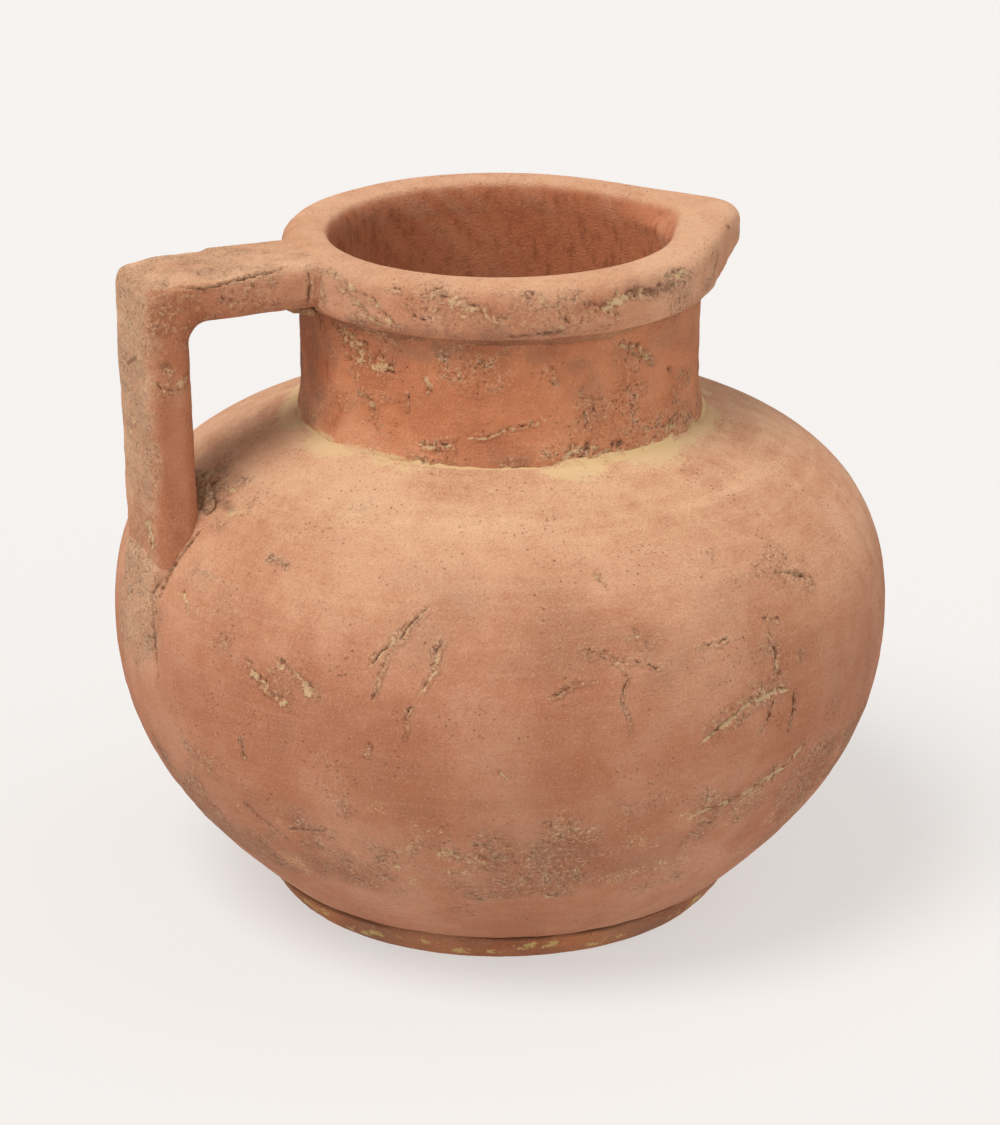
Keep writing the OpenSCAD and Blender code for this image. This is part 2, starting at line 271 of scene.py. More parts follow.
class Signal:
    """A socket of a material. Sums on it add Math nodes, and node() adds any other node."""

    def __init__(self, socket):
        self.socket = socket

    def node(self, kind, settings=None, inputs=None, output=0):
        tree = self.socket.id_data
        made = tree.nodes.new(kind)
        for key, value in (settings or {}).items():
            if key == "stops":
                ramp = made.color_ramp
                while len(ramp.elements) < len(value):
                    ramp.elements.new(0.5)
                for element, (position, colour) in zip(ramp.elements, value):
                    element.position = position
                    element.color = (*colour, 1)
            else:
                setattr(made, key, value)
        for key, value in (inputs or {}).items():
            if isinstance(value, Signal):
                tree.links.new(value.socket, made.inputs[key])
            else:
                made.inputs[key].default_value = value
        return Signal(made.outputs[output])

    def sum(self, operation, first, second):
        return self.node("ShaderNodeMath", {"operation": operation}, {0: first, 1: second})

    def __add__(self, other):
        return self.sum("ADD", self, other)

    __radd__ = __add__

    def __sub__(self, other):
        return self.sum("SUBTRACT", self, other)

    def __rsub__(self, other):
        return self.sum("SUBTRACT", other, self)

    def __mul__(self, other):
        return self.sum("MULTIPLY", self, other)

    __rmul__ = __mul__

    def step(self, low, high):
        """Eases from 0 to 1 while this value goes from low to high."""
        return self.node("ShaderNodeMapRange", {"interpolation_type": "SMOOTHSTEP"},
                         {0: self, 1: low, 2: high})

    def scaled(self, scale):
        """This place, with each of its directions stretched."""
        return self.node("ShaderNodeVectorMath", {"operation": "MULTIPLY"}, {0: self, 1: scale})

    def moved(self, drift):
        """This place, moved the same way along each of its directions."""
        return self.node("ShaderNodeVectorMath", {"operation": "ADD"}, {0: self, 1: (drift,) * 3})

    def cloud(self, size, detail, rough, drift=0.0):
        """Noise from 0 to 1 at this place, with lumps of a size."""
        return self.node("ShaderNodeTexNoise", {"noise_dimensions": "3D"},
                         {"Vector": self.moved(drift), "Scale": 1 / size, "Detail": detail,
                          "Roughness": rough})

    def cells(self, size, drift):
        """The distance to the nearest of many scattered grains a size apart."""
        return self.node("ShaderNodeTexVoronoi", {"feature": "F1"},
                         {"Vector": self.moved(drift), "Scale": 1 / size})

    def veins(self, size):
        """The distance to the nearest of a web of ragged lines round cells of a size."""
        bent = self.node("ShaderNodeTexNoise", {},
                         {"Vector": self, "Scale": 2.5 / size, "Detail": 5.0}, 1)
        place = bent.node("ShaderNodeVectorMath", {"operation": "MULTIPLY_ADD"},
                          {0: bent, 1: (1.3 * size,) * 3, 2: self})
        return place.node("ShaderNodeTexVoronoi", {"feature": "DISTANCE_TO_EDGE"},
                          {"Vector": place, "Scale": 1 / size})

    def over(self, colour, amount):
        """A colour laid over this one, by an amount."""
        return self.node("ShaderNodeMix", {"data_type": "RGBA"},
                         {0: amount, 6: self, 7: (*colour, 1)}, 2)


def clay(name, body, pale, deep, pores=0.5, wheel=0.5, grit=0.5, slip=(0.78, 0.56, 0.31)):
    """Unglazed fired clay. body, pale and deep are its usual, dusty and iron-rich colours. pores,
    wheel and grit say how pitted, banded and sandy it is."""
    material = bpy.data.materials.new(name)
    material.use_nodes = True
    tree = material.node_tree
    shader = tree.nodes["Principled BSDF"]
    where = Signal(tree.nodes.new("ShaderNodeTexCoord").outputs["Object"])
    at = where.scaled((1000, 1000, 1000))
    mark = {key: at.node("ShaderNodeAttribute", {"attribute_name": key}, output=2)
            for key in MARKS}
    unwashed = mark["wash"].step(0.5, 0.1)
    dust, soot = (0.80, 0.515, 0.320), (0.285, 0.150, 0.098)
    wash, stroke = (0.58, 0.200, 0.092), (0.30, 0.092, 0.040)
    pale_sand, dark_sand = (0.86, 0.64, 0.42), (0.27, 0.11, 0.055)
    pale_chip, dark_chip = (0.82, 0.56, 0.33), (0.24, 0.100, 0.050)
    # hair_floor, pit_floor and crack_floor are painted shade for hairlines, pits, cracks and creases;
    # crack_floor also colours dark specks
    hair_edge, hair_floor = (0.84, 0.60, 0.38), (0.26, 0.110, 0.055)
    pit_floor, crack_floor = (0.22, 0.095, 0.045), (0.150, 0.062, 0.030)

    lumps = at.cloud(48, 3, 0.55)
    blotches = at.cloud(8, 5, 0.65, 31)
    fine = at.cloud(0.8, 3, 0.7, 7)
    chips = at.cloud(1.5, 4, 0.70, 11)
    bands = at.scaled((0.05, 0.05, 1)).cloud(2.6, 4, 0.6, 3)
    scrapes = at.scaled((0.16, 0.16, 1)).cloud(1.2, 3, 0.6, 12)
    pits = at.cells(2.6, 40)
    patches = at.cloud(20, 5, 0.6, 50)

    # Dust lies where the clay faces up, partly a painted highlight on the tops, and the skin is rough
    # and chalky where it is worn
    dust_and_highlight = mark["dust"] * (blotches * 0.8 + bands * 0.7 + lumps * 0.7 + fine * 0.7 - 0.82)
    smoke = mark["stain"] * (blotches * 1.8 - 0.1)
    strokes = at.scaled((1, 1, 0.5)).cloud(3.5, 5, 0.65, 60)
    sand = fine.step(0.54, 0.72) * mark["wash"].step(0.9, 0.1)
    worn = (mark["worn"] * 0.5 + patches * 1.1).step(0.62, 1.02)
    web = at.veins(15)
    crazed = worn * blotches.step(0.42, 0.54) * unwashed * pores
    hair = (1 - web.step(0.006, 0.030)) * crazed
    lips = (1 - web.step(0.04, 0.085)) * crazed
    pit = (1 - pits.step(0.10, 0.24)) * patches.step(0.47, 0.60) * unwashed * pores
    filled = (mark["slip"] * 1.15 + fine * 0.9 + chips - 0.98).step(0.30, 0.64)

    # The clay drifts from pink to deep orange, and these lie over it, from the bottom up
    tone = lumps * 0.72 + blotches * 0.28
    colour = at.node("ShaderNodeValToRGB", {"stops": [(0.40, deep), (0.50, body), (0.60, pale)]},
                     {0: tone})
    for paint, amount in [
            (deep, scrapes.step(0.50, 0.66) * 0.5 * wheel),
            (pale, bands.step(0.48, 0.66) * 0.4 * wheel),
            (dust, dust_and_highlight),
            (soot, smoke * 0.6),
            (wash, mark["wash"] * (0.75 + 0.3 * fine)),
            (stroke, mark["wash"] * strokes.step(0.45, 0.70) * 0.6),
            (pale_sand, sand * (0.20 + 0.22 * grit)),
            (dark_sand, fine.step(0.48, 0.32) * (0.18 + 0.3 * grit)),
            (pale_chip, chips.step(0.53, 0.66) * worn * 0.6),
            (dark_chip, chips.step(0.43, 0.34) * worn * 0.75),
            (hair_edge, lips * chips.step(0.42, 0.58) * 0.6),
            # painted shade in the hairlines and pits
            (hair_floor, hair * 0.8),
            (pit_floor, pit * 0.8),
            (slip, filled * mark["slip"].step(0.02, 0.3) * 0.88),
            # painted shade in the marked cracks, gouges and creases, and dark specks on beads and
            # wads
            (crack_floor, mark["dark"].step(0.15, 0.95) * 0.85)]:
        colour = colour.over(paint, amount)
    tree.links.new(colour.socket, shader.inputs["Base Color"])

    # Relief in millimetres: sand, wheel marks and pits, deeper where the clay is worn
    relief = (fine * (0.45 + 0.3 * grit) + chips * (0.45 + 1.2 * worn) + bands * 0.2 * wheel
              + scrapes * 0.2 * wheel + blotches * 0.3 - pit * 0.5 - hair * 0.7)
    bump = relief.node("ShaderNodeBump", {}, {"Strength": 1.0, "Distance": 0.001, "Height": relief})
    tree.links.new(bump.socket, shader.inputs["Normal"])
    rough = 0.84 + 0.14 * fine
    tree.links.new(rough.socket, shader.inputs["Roughness"])
    shader.inputs["Specular IOR Level"].default_value = 0.22
    shader.inputs["Diffuse Roughness"].default_value = 0.6
    return material


belly_top = corners("body")[1]
foot_low, foot_top = corners("foot_ring")
neck_top = corners("neck")[1]
post_low, post_top = corners("handle_post")
skin_gap = 0.4          # the belly is drawn this much inside its widest, to leave room for waves
belly_r = belly_top[0] - skin_gap
crease_r, crease_z = foot_top[0], foot_top[2]
belly_z = 115.0         # height of the widest point
shoulder_r, shoulder_z = neck_top[0], belly_top[2]
wall = 11.0             # thickness of the belly's wall
under_z, floor_z = 5.0, 17.0    # the floor's underside and its upper side
neck_bore = 64.0        # radius of the hole through the shoulder and the neck

rise = curve((crease_r, crease_z), (crease_r + 24, crease_z + 22),
             (belly_r, (belly_z + crease_z) / 2), (belly_r, belly_z))
fall = curve((belly_r, belly_z), (belly_r, belly_z + 56),
             (shoulder_r + 34, shoulder_z - 14), (shoulder_r, shoulder_z))
outside = np.vstack([rise, fall[1:]])
inside = np.vstack([rise[4:], fall[1:-4]])
lean = np.gradient(inside, axis=0)
inwards = np.column_stack([-lean[:, 1], lean[:, 0]])
inside = inside + wall * inwards / np.linalg.norm(lean, axis=1)[:, None]
inside = inside[(inside[:, 0] > neck_bore) & (inside[:, 1] > floor_z + 1)]
outline = np.vstack([
    even([(0, under_z), (80, under_z), (crease_r - 2, crease_z - 1.2)], 8),
    even(np.vstack([(crease_r - 0.7, crease_z + 0.2), outside[1:]]), 2.4),
    even([(shoulder_r - 3, shoulder_z), (neck_bore, shoulder_z), (neck_bore, shoulder_z - 6)], 3),
    even(inside[::-1], 5), even([(74, floor_z + 0.5), (0, floor_z)], 8)])
belly_face = Wall(outside)

belly_cracks = [  # width, depth, ledge, slip, and the places it runs through
    (0.35, 0.9, 1.3, 0.8, [(122, 164), (124, 159), (128, 148), (131, 139)]),
    (0.35, 0.7, 0.8, 0.5, [(128, 147), (129, 138), (130, 127)]),
    (0.30, 0.7, 1.0, 0.6, [(120, 155), (121, 146), (121, 141), (124, 131)]),
    (0.30, 0.5, 0.6, 0.4, [(124, 131), (125, 124), (125, 113)]),
    (0.30, 0.5, 0.8, 0.7, [(130, 114), (131, 106)]),
    (0.35, 1.0, 2.4, 1.0, [(84, 107), (78, 115), (74, 120), (70, 121), (66, 118)]),
    (0.55, 1.3, 1.0, 0.8, [(70, 139), (69, 134), (69, 122)]),
    (0.45, 0.9, 0.9, 0.7, [(70, 118), (71, 111), (73, 103)]),
    (0.60, 1.3, 0.6, 0.5, [(66, 118), (66, 109), (67, 100)]),
    (0.40, 1.1, 1.8, 0.9, [(60, 95), (65, 88), (69, 84), (74, 80), (84, 76)]),
    (0.70, 1.4, 1.2, 0.5, [(65, 160), (61, 157), (58, 154)]),
    (0.30, 0.5, 0.8, 0.8, [(106, 131), (101, 137), (98, 136)]),
    (0.35, 0.7, 0.7, 0.6, [(152, 104), (151, 94)]),
    (0.35, 0.7, 0.9, 0.9, [(122, 68), (119, 67), (117, 65)]),
    (0.55, 1.1, 0.9, 0.7, [(116, 68), (113, 64), (111, 61)]),
    (0.40, 0.7, 0.8, 0.4, [(155, 74), (149, 64), (146, 57)]),
    (0.35, 0.7, 0.7, 0.4, [(147, 66), (143, 69), (138, 71)]),
    (0.30, 0.4, 0.8, 0.7, [(153, 168), (147, 167)]),
    (0.30, 0.5, 0.6, 0.4, [(101, 147), (96, 143), (91, 141), (87, 138)]),
    (0.30, 0.4, 0.5, 0.3, [(96, 145), (94, 138), (95, 128), (93, 112)]),
    (0.30, 0.5, 0.8, 0.6, [(84, 143), (80, 144), (77, 145)]),
    (0.45, 0.9, 0.0, 0.0, [(173, 142), (171, 128), (171, 102)]),
]
belly_gouges = [  # width, depth, slip, places
    (2.0, 1.0, 0.6, [(150, 134), (148, 128), (145, 124), (143, 122)]),
    (2.4, 0.6, 0.5, [(144, 136), (141, 132), (138, 127)]),
    (1.0, 0.9, 0.5, [(112, 104), (111, 102)]),
    (1.4, 0.8, 0.9, [(129, 60), (128, 58)]),
    (1.3, 0.6, 0.7, [(96, 170), (95, 166)]), (1.2, 0.5, 0.7, [(92, 154), (92, 151)]),
    (1.8, 1.2, 0.5, [(62, 158), (60, 155)]), (2.6, 0.4, 0.4, [(100, 147), (94, 143)]),
    (1.6, 0.5, 0.6, [(166, 148), (164, 143)]), (1.4, 0.5, 0.6, [(70, 147), (68, 145)]),
]
# The back has its own cracks, strayed from seeded starts
stray = np.random.default_rng(12)
for _ in range(16):
    degrees, height = stray.uniform(205, 385), stray.uniform(40, 172)
    heading = stray.uniform(0, math.pi)
    path = [(degrees, height)]
    for _ in range(stray.integers(2, 5)):
        heading += stray.normal(0, 0.5)
        degrees += 3.6 * math.cos(heading)
        height = float(np.clip(height - 9 * math.sin(heading), 30, 178))
        path.append((degrees, height))
    belly_cracks.append((stray.uniform(0.3, 0.55), stray.uniform(0.6, 1.3), stray.uniform(0.6, 2.2),
                         stray.uniform(0.4, 1), path))
for _ in range(7):
    degrees, height = stray.uniform(205, 385), stray.uniform(50, 170)
    width, depth, slip = stray.uniform(1.2, 2.6), stray.uniform(0.5, 1.1), stray.uniform(0.4, 0.8)
    end = (degrees + stray.uniform(1, 4), height - stray.uniform(2, 7))
    belly_gouges.append((width, depth, slip, [(degrees, height), end]))

crack_lines = [belly_face.draw(c[-1], 0.9, k) for k, c in enumerate(belly_cracks)]
gouge_lines = [belly_face.draw(g[-1], 0.6, k) for k, g in enumerate(belly_gouges)]
# The post's foot is dragged down over the belly as a low tail with a creased front edge
tail_edge = belly_face.draw([(171.3, 151), (174, 141), (172, 128), (171, 112)], 0.4, 9)
post_crease = belly_face.draw([(171.8, 143), (171.3, 152), (170.8, 161), (170.3, 168)], 0.2, 4)
belly_bm = turn(outline, 400)
refine(belly_bm, crack_lines + gouge_lines + [tail_edge, post_crease], 3.0, 2)
belly_skin = Skin(belly_bm)
at = belly_skin.at
radius, height = np.hypot(at[:, 0], at[:, 1]), at[:, 2]
degrees = np.degrees(np.arctan2(-at[:, 1], at[:, 0])) % 360
outer = radius > np.interp(height, outside[:, 1], outside[:, 0]) - 3
tail_front, tail_back, tail_end, tail_head = 170.5, 189.5, 98, 174
tail = smooth((degrees - tail_front) / 3) * smooth((tail_back - degrees) / 3)
tail *= smooth((height - tail_end) / 30)
tail *= smooth((tail_head - height) / 6)
belly_skin.tint("worn", 0.9 * outer * tail)
belly_skin.marks["dust"] += 0.5 * outer * tail
belly_skin.sunk -= outer * tail * np.clip(-post_low[0] - 0.2 - radius, 0.7 * (radius < 149), 4.5)
# Painted shade darkens the tail's front edge and the crease beside the post.
belly_skin.crack(tail_edge, 0.9, 1.6, 0, 0, 8, 0.5)
belly_skin.crack(post_crease, 1.0, 1.6, 0, 0, 3, 0.2)
belly_skin.smudge(post_crease, 1.0, 0.7, "dark", 3)
belly_skin.smudge(belly_face.draw([(169, 152), (165, 146), (160, 141)], 2), 13, 0.2, "slip", 6)
for k, ((width, depth, ledge, slip, _), line) in enumerate(zip(belly_cracks, crack_lines)):
    belly_skin.crack(line, width, depth, ledge, slip, k)
for k, ((width, depth, slip, _), line) in enumerate(zip(belly_gouges, gouge_lines)):
    belly_skin.gouge(line, width, depth, slip, k)
belly_skin.sunk += 0.26 * swell(at, 60, 1, 2) + 0.10 * swell(at * [0.1, 0.1, 1], 5, 2, 2)
belly_skin.sunk += 0.16 * swell(at, 7, 3, 3) * (0.3 + smooth((100 - height) / 40))
# Ochre dust lies on the shoulder close to the neck; low down the belly is rough, and its colour
# darkens towards the bottom
close_to_neck = (height > 150) * (0.5 * smooth((108 - radius) / 28) + 0.5 * smooth((85 - radius) / 4))
belly_skin.tint("slip", close_to_neck * np.clip(0.75 + 0.7 * swell(at, 18, 4, 4), 0, 1))
belly_skin.marks["dust"] += 0.7 * smooth((130 - radius) / 42) * (height > 150)
belly_skin.tint("stain", 0.30 * smooth((150 - height) / 36) * (0.7 + 0.5 * swell(at, 50, 6, 2)))
rough_foot, rough_top = 34, 97
band = smooth((rough_top - height) / 12) * smooth((height - rough_foot) / 10)
belly_skin.tint("worn", band * np.clip(0.45 + 1.1 * swell(at, 20, 5, 3), 0, 1))
belly_skin.tint("slip", band * np.clip(0.5 * swell(at, 9, 8, 4) + 0.04, 0, 0.34))
belly_stains = [  # amount, width, places
    (0.45, 13, [(100, 146), (91, 141), (82, 136)]), (0.5, 15, [(120, 105), (109, 80)]),
    (0.6, 6, [(143, 112), (143, 99)]), (0.6, 8, [(172, 132), (171, 104)]),
    (0.5, 16, [(150, 80), (140, 50)]), (0.5, 16, [(112, 66), (84, 56)]),
    (0.35, 22, [(128, 96), (110, 92)]), (0.4, 20, [(250, 150), (280, 120)]),
    (0.45, 18, [(320, 70), (350, 60)]), (0.35, 16, [(78, 152), (70, 140)]),
    (0.35, 14, [(60, 128), (52, 112)]), (0.35, 18, [(125, 160), (104, 152)]),
    (0.3, 10, [(152, 118), (154, 100)]),
]
for amount, width, path in belly_stains:
    belly_skin.smudge(belly_face.draw(path, 3), width, 0.9 * amount, seed=int(width + path[0][0]))
belly_skin.smudge(belly_face.draw([(166, 176), (176, 178), (188, 177)], 1), 6, 0.45, "slip", 3)
# Painted shade darkens a thin line along the top of the post's tail.
belly_skin.smudge(belly_face.draw([(166, 174), (176, 176), (188, 176)], 1), 4, 0.6, "dark", 5)
belly_worn = [  # amount, width, places
    (0.75, 9, [(168, 156), (160, 150), (156, 140)]), (0.9, 9, [(166, 176), (190, 178)]),
    (0.6, 12, [(72, 168), (60, 158)]), (0.6, 8, [(150, 133), (140, 128)]),
    (0.5, 10, [(92, 150), (84, 140)]), (0.55, 8, [(72, 138), (66, 128)]),
]
for amount, width, path in belly_worn:
    belly_skin.smudge(belly_face.draw(path, 3), width, amount, "worn", int(width + path[0][0]))
belly_clay = clay("belly_clay", body=(0.58, 0.247, 0.136), pale=(0.655, 0.315, 0.19),
                  deep=(0.51, 0.195, 0.100), pores=0.7, wheel=0.5, grit=0.45)
belly = belly_skin.finish("belly_pot", belly_clay, "terracotta")
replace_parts(belly, "body")


# ---- Foot ring -------------------------------
# A coil of the same clay is turned on under the belly and pressed to a flaring ring. Yellow slip
# was smeared round the crease with a finger and has flaked.

foot_side = curve((-foot_low[0] - 8, 0.1), (87, 3), (91.5, 8), (crease_r, crease_z), 20)
foot_side[:, 0] -= 0.2
foot_outline = np.vstack([
    even([(72.6, 0.25), (83, 0.1)], 1.5), even(foot_side[1:-2], 1.0),
    [(crease_r - 1.0, crease_z - 0.2), (crease_r - 3, crease_z - 0.4)],
    even([(80, 6), (72.4, 4.6), (72, 1)], 2.5)])
foot_face = Wall(foot_side)
smears = [(165, 8), (149, 5), (133, 8.5), (118, 5), (104, 8.5), (87, 5), (60, 8), (30, 7),
          (320, 6), (265, 8), (225, 7)]


def smear_foot(skin):
    """Slip in flaked smears round the foot, under a painted shadow line at the crease."""
    at = skin.at
    for k, (degrees, height) in enumerate(smears):
        skin.smudge(foot_face.draw([(degrees - 6, height), (degrees + 5, height - 1)], 1.5, k),
                    2.4, 0.55, "slip", k)
    # Painted shade darkens the top of the foot, under the belly's edge.
    skin.tint("dark", 0.75 * smooth((at[:, 2] - 9.8) / 1.4)
              * np.clip(0.5 + 1.2 * swell(at, 30, 6, 2), 0, 1))
    skin.tint("stain", np.clip(0.40 + 0.8 * swell(at, 26, 7, 3), 0, 1))


foot_skin = Skin(turn(foot_outline, 560))
above_sole = smooth(foot_skin.at[:, 2] / 1.5)
foot_waves = 0.25 * swell(foot_skin.at, 30, 1, 2) + 0.25 * swell(foot_skin.at, 5, 2, 3)
foot_skin.sunk += foot_waves * above_sole
smear_foot(foot_skin)
foot_clay = clay("foot_clay", body=(0.51, 0.188, 0.078), pale=(0.57, 0.230, 0.100),
                 deep=(0.35, 0.120, 0.055), pores=0.5, wheel=0.6, grit=0.5,
                 slip=(0.62, 0.44, 0.17))
foot = foot_skin.finish("foot_coil", foot_clay, "terracotta")
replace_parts(foot, "foot_ring")


# ---- Neck ------------------------------------
# The neck is a collar built up from a slab and set on the shoulder. It is the most battered part:
# the skin has come off in patches, showing the sandy clay underneath.

neck_r = neck_top[0] - 3
rim_low, rim_top = corners("rim")
neck_side = np.vstack([curve((shoulder_r - 1.2, shoulder_z), (neck_r + 1.2, shoulder_z + 4),
                             (neck_r, shoulder_z + 8), (neck_r, shoulder_z + 14), 14),
                       [(neck_r, rim_low[2] + 4)]])
neck_face = Wall(neck_side)
neck_outline = np.vstack([
    even(neck_side, 0.95),
    even([(neck_r - 2, rim_top[2] - 11), (neck_bore + 0.2, rim_top[2] - 9.6)], 3),
    even([(neck_bore, rim_top[2] - 11), (neck_bore, shoulder_z - 1)], 1.3),
    [(neck_bore + 2, shoulder_z - 2), (shoulder_r - 4, shoulder_z - 2)]])
neck_skin = Skin(turn(neck_outline, 500))
neck_gouges = [
    (5.5, 1.6, 0.5, [(163, 238), (156, 233), (147, 228)]),
    (2.4, 1.3, 0.5, [(154, 217), (149, 211)]),
    (2.8, 1.1, 0.7, [(94, 198), (86, 200)]), (2.8, 1.5, 0.7, [(83, 196), (76, 198)]),
    (2.4, 1.4, 0.6, [(75, 236), (70, 231), (65, 229)]), (3.0, 0.9, 0.7, [(59, 198), (50, 199)]),
    (1.3, 0.7, 0.6, [(133, 227), (132, 222)]), (1.6, 0.8, 0.4, [(98, 232), (97, 226)]),
    (2.0, 0.9, 0.4, [(87, 218), (84, 210)]), (1.4, 0.8, 0.4, [(138, 197), (134, 196)]),
    (1.8, 0.6, 0.4, [(124, 230), (122, 226)]), (1.8, 0.6, 0.4, [(112, 196), (106, 197)]),
    (4.0, 1.3, 0.5, [(225, 230), (236, 224)]), (2.8, 1.2, 0.6, [(262, 200), (270, 203)]),
    (3.0, 1.3, 0.6, [(300, 234), (307, 228)]), (2.4, 1.1, 0.6, [(335, 205), (340, 200)]),
]
neck_cracks = [
    (0.35, 0.8, 1.2, 0.9, [(136, 201), (130, 202), (123, 203)]),
    (0.25, 0.5, 0.7, 0.8, [(122, 204), (110, 208), (98, 213)]),
    (0.35, 0.7, 1.0, 0.9, [(137, 195), (126, 195)]),
    (0.45, 1.0, 1.2, 0.7, [(66, 196), (59, 200), (50, 203)]),
    (0.40, 0.9, 0.4, 0.3, [(139, 222), (138, 218), (139, 211)]),
    (0.50, 1.1, 0.6, 0.5, [(57, 223), (55, 219)]),
    (0.60, 1.3, 0.0, 0.0, [(100, 241), (88, 241), (77, 242)]),
    (0.40, 0.7, 0.6, 0.4, [(89, 225), (87, 206)]),
    (0.45, 1.0, 1.2, 0.6, [(232, 218), (246, 210), (256, 211)]),
    (0.45, 0.9, 0.9, 0.7, [(318, 226), (324, 214)]),
]
neck_skin.scar(neck_face.draw, neck_gouges, neck_cracks, (1.0, 0.8), 20)
at = neck_skin.at
radius = np.hypot(at[:, 0], at[:, 1])
outer = radius > 72
neck_skin.sunk += outer * (0.3 * swell(at, 28, 1, 2) + 0.2 * swell(at, 4, 2, 3))
neck_stains = [  # amount, width, places
    (1.0, 8, [(188, 238), (180, 226), (174, 210)]), (0.8, 6, [(168, 238), (166, 218)]),
    (0.6, 7, [(142, 240), (100, 241)]), (0.5, 7, [(90, 226), (84, 214)]),
    (0.5, 10, [(60, 238), (30, 236)]), (0.5, 6, [(112, 200), (106, 198)]),
    (0.5, 12, [(240, 232), (300, 228)]),
]
for amount, width, path in neck_stains:
    neck_skin.smudge(neck_face.draw(path, 2), width, amount, seed=int(path[0][0]))
neck_skin.smudge(neck_face.draw([(190, 236), (176, 222), (172, 205)], 2), 13, 0.85, "wash", 4)
neck_skin.smudge(neck_face.draw([(172, 238), (160, 236)], 2), 7, 0.6, "wash", 5)
neck_skin.tint("worn", outer * np.clip(0.15 + 1.1 * swell(at, 16, 9, 3), 0, 0.9))


def brushed(at):
    """The strokes of a brush, slanting down round the inside."""
    turned = np.degrees(np.arctan2(at[:, 1], at[:, 0]))
    slant = np.column_stack([turned - 0.9 * at[:, 2], 0.1 * turned + 0.12 * at[:, 2], 0 * turned])
    return swell(slant, 5, 30, 3) * smooth((180 - abs(turned)) / 20)


# Inside, a brush has dragged a dark wash round and down
strokes = brushed(at)
bore = radius < neck_bore + 2
neck_skin.sunk += bore * 0.10 * strokes
neck_skin.tint("wash", bore * np.clip(0.85 + 0.3 * strokes, 0, 1))
neck_skin.marks["dust"] *= ~bore
bottom_dust = smooth((shoulder_z + 5 - at[:, 2]) / 5) * np.clip(0.45 + swell(at, 10, 8, 3), 0, 1)
neck_skin.tint("slip", 0.7 * bottom_dust * outer)
# The neck's clay is paler than the belly's: partly its own colour, partly painted light for its
# upright face.
neck_clay = clay("neck_clay", body=(0.66, 0.255, 0.120), pale=(0.71, 0.315, 0.165),
                 deep=(0.55, 0.195, 0.090), pores=0.9, wheel=0.35, grit=0.5)
neck_piece = neck_skin.finish("neck_collar", neck_clay, "terracotta")
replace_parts(neck_piece, "neck")


# ---- Rim -------------------------------------
# A thick coil is rolled over the neck's edge, smoothed flat on top with a wet hand, and pinched out
# on one side into a pouring beak. Its outer face is gouged where the coil was joined.

rim_r = -rim_low[0] - 0.2
top_z = rim_top[2] - 0.1
bottom_z = rim_low[2]
lip = np.vstack([[(neck_bore + 3, top_z - 13), (neck_bore + 1.1, top_z - 22),
                  (neck_bore + 0.1, top_z - 14)],
                 curve((neck_bore - 0.12, top_z - 11), (neck_bore - 0.12, top_z - 3),
                       (neck_bore + 1.5, top_z - 0.2), (neck_bore + 6, top_z), 24)])
brow = curve((rim_r - 7, top_z), (rim_r - 2.4, top_z), (rim_r, top_z - 2.6), (rim_r, top_z - 7.5), 24)
heel = curve((rim_r, bottom_z + 6.5), (rim_r, bottom_z + 2), (rim_r - 1.5, bottom_z),
             (neck_r - 0.5, bottom_z + 0.4), 24)
rim_seat = [(neck_r - 4, bottom_z + 5), (neck_r - 4, top_z - 9.5), (neck_bore + 3, top_z - 10.5)]
rim_outline = even(np.vstack([lip, brow, heel, rim_seat]), 0.95)
rim_face = Wall(np.vstack([brow[2:], heel]))
beak_reach, channel_reach, nose_r = 15.8, 8.0, 16.0     # how far the beak is drawn out, and its tip
beak_droop = 2.2        # how far the beak's underside hangs


def beaked(degrees, radius, reach, nose):
    """How far out a circle of a radius goes when it is drawn to a rounded nose at 0 degrees."""
    middle = radius + reach - nose
    side = math.acos((radius - nose) / middle)
    tip = math.atan2(nose * math.sin(side), middle + nose * math.cos(side))
    turned = np.abs((np.radians(degrees) + math.pi) % (2 * math.pi) - math.pi)
    rounded = np.sqrt(np.clip(nose ** 2 - (middle * np.sin(turned)) ** 2, 0, None))
    straight = radius / np.cos(np.minimum(turned, side) - side)
    return np.where(turned <= tip, middle * np.cos(turned) + rounded, straight) - radius


def pinch(at):
    """Draws the beak out of the round rim, and its pouring channel."""
    radius = np.hypot(at[:, 0], at[:, 1])
    degrees = np.degrees(np.arctan2(at[:, 1], at[:, 0]))
    beak = beaked(degrees, rim_r, beak_reach, nose_r)
    channel = beaked(degrees, neck_bore, channel_reach, nose_r)
    across = smooth((radius - neck_bore - 7) / (rim_r - neck_bore - 14))
    low = smooth((bottom_z + 9 - at[:, 2]) / 9)
    inner = smooth((at[:, 2] - (top_z - 9)) / 9)
    push = across * beak * (1 - 0.5 * low) + (1 - across) * channel * inner
    push *= smooth((radius - neck_bore + 2) / 2 + inner)
    grown = (radius + push) / radius
    drop = beak_droop * low * across * beak / nose_r
    return np.column_stack([at[:, 0] * grown, at[:, 1] * grown, at[:, 2] - drop])


